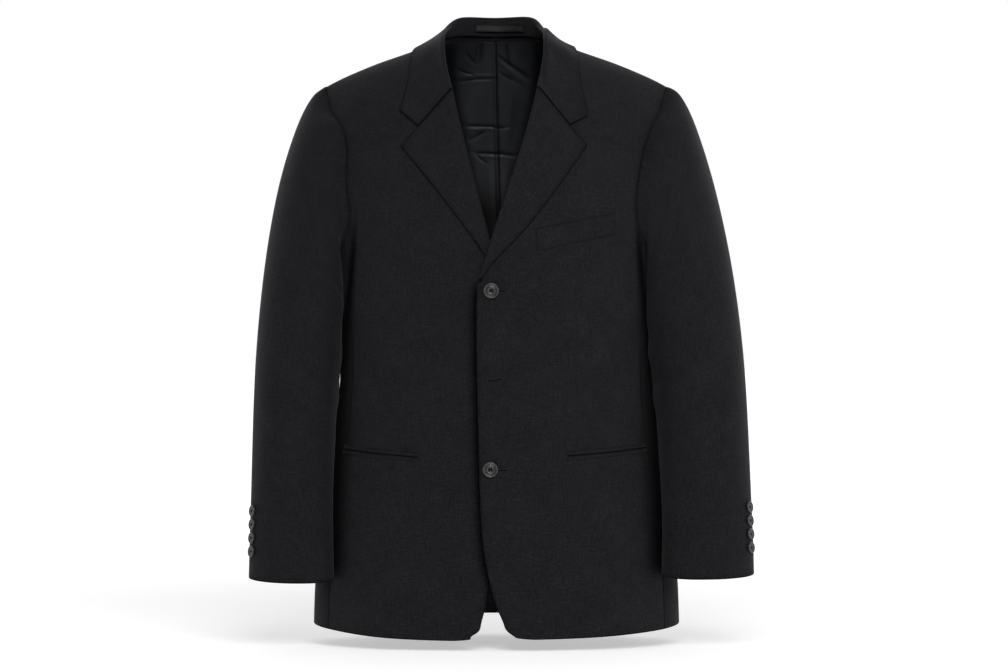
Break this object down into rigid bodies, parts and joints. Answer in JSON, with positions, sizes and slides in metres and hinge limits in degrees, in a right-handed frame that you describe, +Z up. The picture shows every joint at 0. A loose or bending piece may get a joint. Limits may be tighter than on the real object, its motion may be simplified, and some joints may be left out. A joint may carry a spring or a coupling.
{
  "type": "blazer",
  "caption": "Single-breasted notch-lapel wool blazer in its worn, hollow shape, with front and cuff buttons, jetted hip pockets and a breast welt.",
  "frame": {"origin": "the middle of the neck opening, level with the seam between the collar and the back", "axes": "+Z up as worn, the front faces -Y, so +X is the wearer's left"},
  "size_m": [0.6521, 0.2422, 0.8136],
  "materials": {
    "wool": "charcoal wool with a fine close weave and a dull surface",
    "lining": "dark slate satin",
    "button": "dark grey, lightly polished",
    "loop": "dark woven tape, blank"
  },
  "bodies": {
    "root": {"front_left": "wool", "front_right": "wool", "side_left": "wool", "side_right": "wool", "back_left": "wool", "back_right": "wool", "lapel_left": "wool", "lapel_right": "wool", "collar": "wool", "top_sleeve_left": "wool", "top_sleeve_right": "wool", "under_sleeve_left": "wool", "under_sleeve_right": "wool", "lining_back": "lining", "hanger_loop": "loop", "jet_upper_left": "wool", "jet_lower_left": "wool", "jet_upper_right": "wool", "jet_lower_right": "wool", "breast_welt": "wool", "button_front_upper": "button", "button_front_lower": "button", "button_cuff_left_1": "button", "button_cuff_left_2": "button", "button_cuff_left_3": "button", "button_cuff_left_4": "button", "button_cuff_right_1": "button", "button_cuff_right_2": "button", "button_cuff_right_3": "button", "button_cuff_right_4": "button"}
  },
  "joints": []
}
